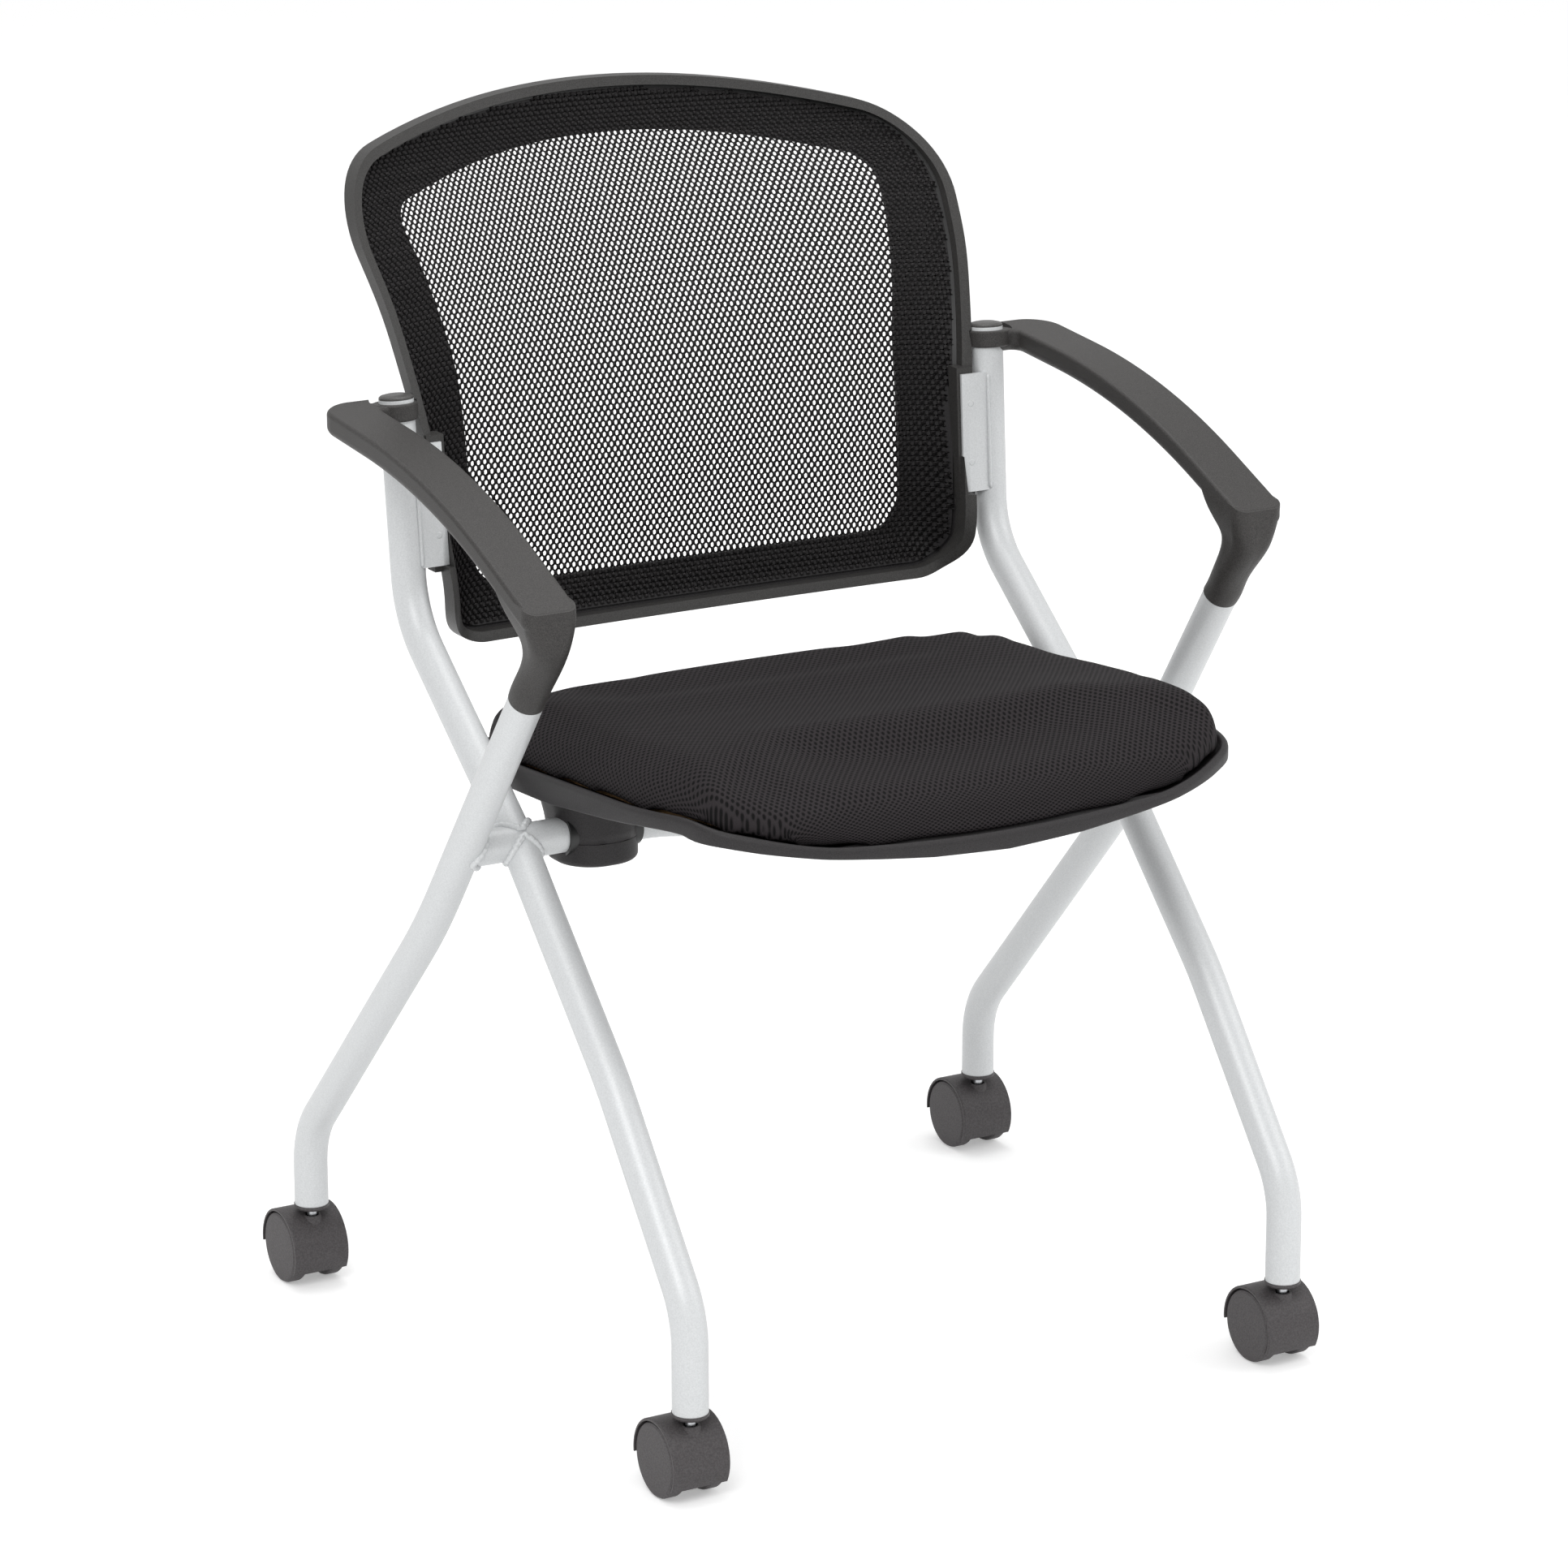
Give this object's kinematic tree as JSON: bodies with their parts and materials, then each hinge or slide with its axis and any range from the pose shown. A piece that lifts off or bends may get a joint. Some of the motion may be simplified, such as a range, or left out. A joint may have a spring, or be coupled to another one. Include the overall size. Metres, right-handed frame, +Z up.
{
  "type": "nesting chair",
  "caption": "nesting armchair with a grey tube frame, see-through mesh back, tip-up padded seat, moulded armrests and twin-wheel casters",
  "frame": {"origin": "on the floor, under the middle of the chair's overall box", "axes": "+X to the sitter's left, +Y to the rear, +Z up; the chair faces -Y"},
  "size_m": [0.632, 0.6161, 0.8755],
  "materials": {
    "powder_coat": "fine grey powder coat",
    "arm_plastic": "fine matte texture",
    "back_plastic": "fine matte texture",
    "seat_plastic": "fine matte texture",
    "caster_plastic": "matte",
    "wheel_plastic": "matte",
    "carrier_plastic": "matte",
    "bush_plastic": "smooth",
    "back_mesh": "open knitted mesh",
    "seat_fabric": "spacer mesh",
    "plywood": "raw",
    "zinc_steel": "zinc plated",
    "black_steel": "blackened"
  },
  "bodies": {
    "frame": {"cross_tube": "powder_coat", "left_front_leg": "powder_coat", "left_back_post": "powder_coat", "left_rear_leg": "powder_coat", "left_back_bracket": "powder_coat", "left_armrest": "arm_plastic", "left_post_cap": "arm_plastic", "left_lower_back_screw": "black_steel", "left_upper_back_screw": "black_steel", "right_front_leg": "powder_coat", "right_back_post": "powder_coat", "right_rear_leg": "powder_coat", "right_back_bracket": "powder_coat", "right_armrest": "arm_plastic", "right_post_cap": "arm_plastic", "right_lower_back_screw": "black_steel", "right_upper_back_screw": "black_steel", "back_frame": "back_plastic", "back_mesh": "back_mesh", "mesh_carrier": "carrier_plastic", "front_left_stem_socket": "caster_plastic", "front_left_caster_stem": "zinc_steel", "front_right_stem_socket": "caster_plastic", "front_right_caster_stem": "zinc_steel", "rear_left_stem_socket": "caster_plastic", "rear_left_caster_stem": "zinc_steel", "rear_right_stem_socket": "caster_plastic", "rear_right_caster_stem": "zinc_steel"},
    "seat": {"seat_pan": "seat_plastic", "seat_board": "plywood", "seat_cushion": "seat_fabric", "left_pivot_cap": "seat_plastic", "left_pivot_bush": "bush_plastic", "left_inner_cap_screw": "black_steel", "left_outer_cap_screw": "black_steel", "right_pivot_cap": "seat_plastic", "right_pivot_bush": "bush_plastic", "right_inner_cap_screw": "black_steel", "right_outer_cap_screw": "black_steel"},
    "front_left_caster": {"front_left_caster_hood": "caster_plastic", "front_left_caster_axle": "zinc_steel"},
    "front_left_outer_roll": {"front_left_outer_wheel": "wheel_plastic"},
    "front_left_inner_roll": {"front_left_inner_wheel": "wheel_plastic"},
    "front_right_caster": {"front_right_caster_hood": "caster_plastic", "front_right_caster_axle": "zinc_steel"},
    "front_right_outer_roll": {"front_right_outer_wheel": "wheel_plastic"},
    "front_right_inner_roll": {"front_right_inner_wheel": "wheel_plastic"},
    "rear_left_caster": {"rear_left_caster_hood": "caster_plastic", "rear_left_caster_axle": "zinc_steel"},
    "rear_left_outer_roll": {"rear_left_outer_wheel": "wheel_plastic"},
    "rear_left_inner_roll": {"rear_left_inner_wheel": "wheel_plastic"},
    "rear_right_caster": {"rear_right_caster_hood": "caster_plastic", "rear_right_caster_axle": "zinc_steel"},
    "rear_right_outer_roll": {"rear_right_outer_wheel": "wheel_plastic"},
    "rear_right_inner_roll": {"rear_right_inner_wheel": "wheel_plastic"}
  },
  "joints": [
    {"name": "seat_tip_up", "type": "hinge", "parent": "frame", "child": "seat", "pos_m": [0, -0.046, 0.4056], "axis": [-1, 0, 0], "range_deg": [0, 85]},
    {"name": "front_left_swivel", "type": "hinge", "parent": "frame", "child": "front_left_caster", "pos_m": [0.245, -0.2912, 0.05], "axis": [0, 0, 1], "continuous": true},
    {"name": "front_left_outer_spin", "type": "hinge", "parent": "front_left_caster", "child": "front_left_outer_roll", "pos_m": [0.245, -0.2782, 0.027], "axis": [1, 0, 0], "continuous": true},
    {"name": "front_left_inner_spin", "type": "hinge", "parent": "front_left_caster", "child": "front_left_inner_roll", "pos_m": [0.245, -0.2782, 0.027], "axis": [1, 0, 0], "continuous": true},
    {"name": "front_right_swivel", "type": "hinge", "parent": "frame", "child": "front_right_caster", "pos_m": [-0.245, -0.2912, 0.05], "axis": [0, 0, 1], "continuous": true},
    {"name": "front_right_outer_spin", "type": "hinge", "parent": "front_right_caster", "child": "front_right_outer_roll", "pos_m": [-0.245, -0.2782, 0.027], "axis": [1, 0, 0], "continuous": true},
    {"name": "front_right_inner_spin", "type": "hinge", "parent": "front_right_caster", "child": "front_right_inner_roll", "pos_m": [-0.245, -0.2782, 0.027], "axis": [1, 0, 0], "continuous": true},
    {"name": "rear_left_swivel", "type": "hinge", "parent": "frame", "child": "rear_left_caster", "pos_m": [0.294, 0.2073, 0.05], "axis": [0, 0, 1], "continuous": true},
    {"name": "rear_left_outer_spin", "type": "hinge", "parent": "rear_left_caster", "child": "rear_left_outer_roll", "pos_m": [0.294, 0.2203, 0.027], "axis": [1, 0, 0], "continuous": true},
    {"name": "rear_left_inner_spin", "type": "hinge", "parent": "rear_left_caster", "child": "rear_left_inner_roll", "pos_m": [0.294, 0.2203, 0.027], "axis": [1, 0, 0], "continuous": true},
    {"name": "rear_right_swivel", "type": "hinge", "parent": "frame", "child": "rear_right_caster", "pos_m": [-0.294, 0.2073, 0.05], "axis": [0, 0, 1], "continuous": true},
    {"name": "rear_right_outer_spin", "type": "hinge", "parent": "rear_right_caster", "child": "rear_right_outer_roll", "pos_m": [-0.294, 0.2203, 0.027], "axis": [1, 0, 0], "continuous": true},
    {"name": "rear_right_inner_spin", "type": "hinge", "parent": "rear_right_caster", "child": "rear_right_inner_roll", "pos_m": [-0.294, 0.2203, 0.027], "axis": [1, 0, 0], "continuous": true}
  ]
}
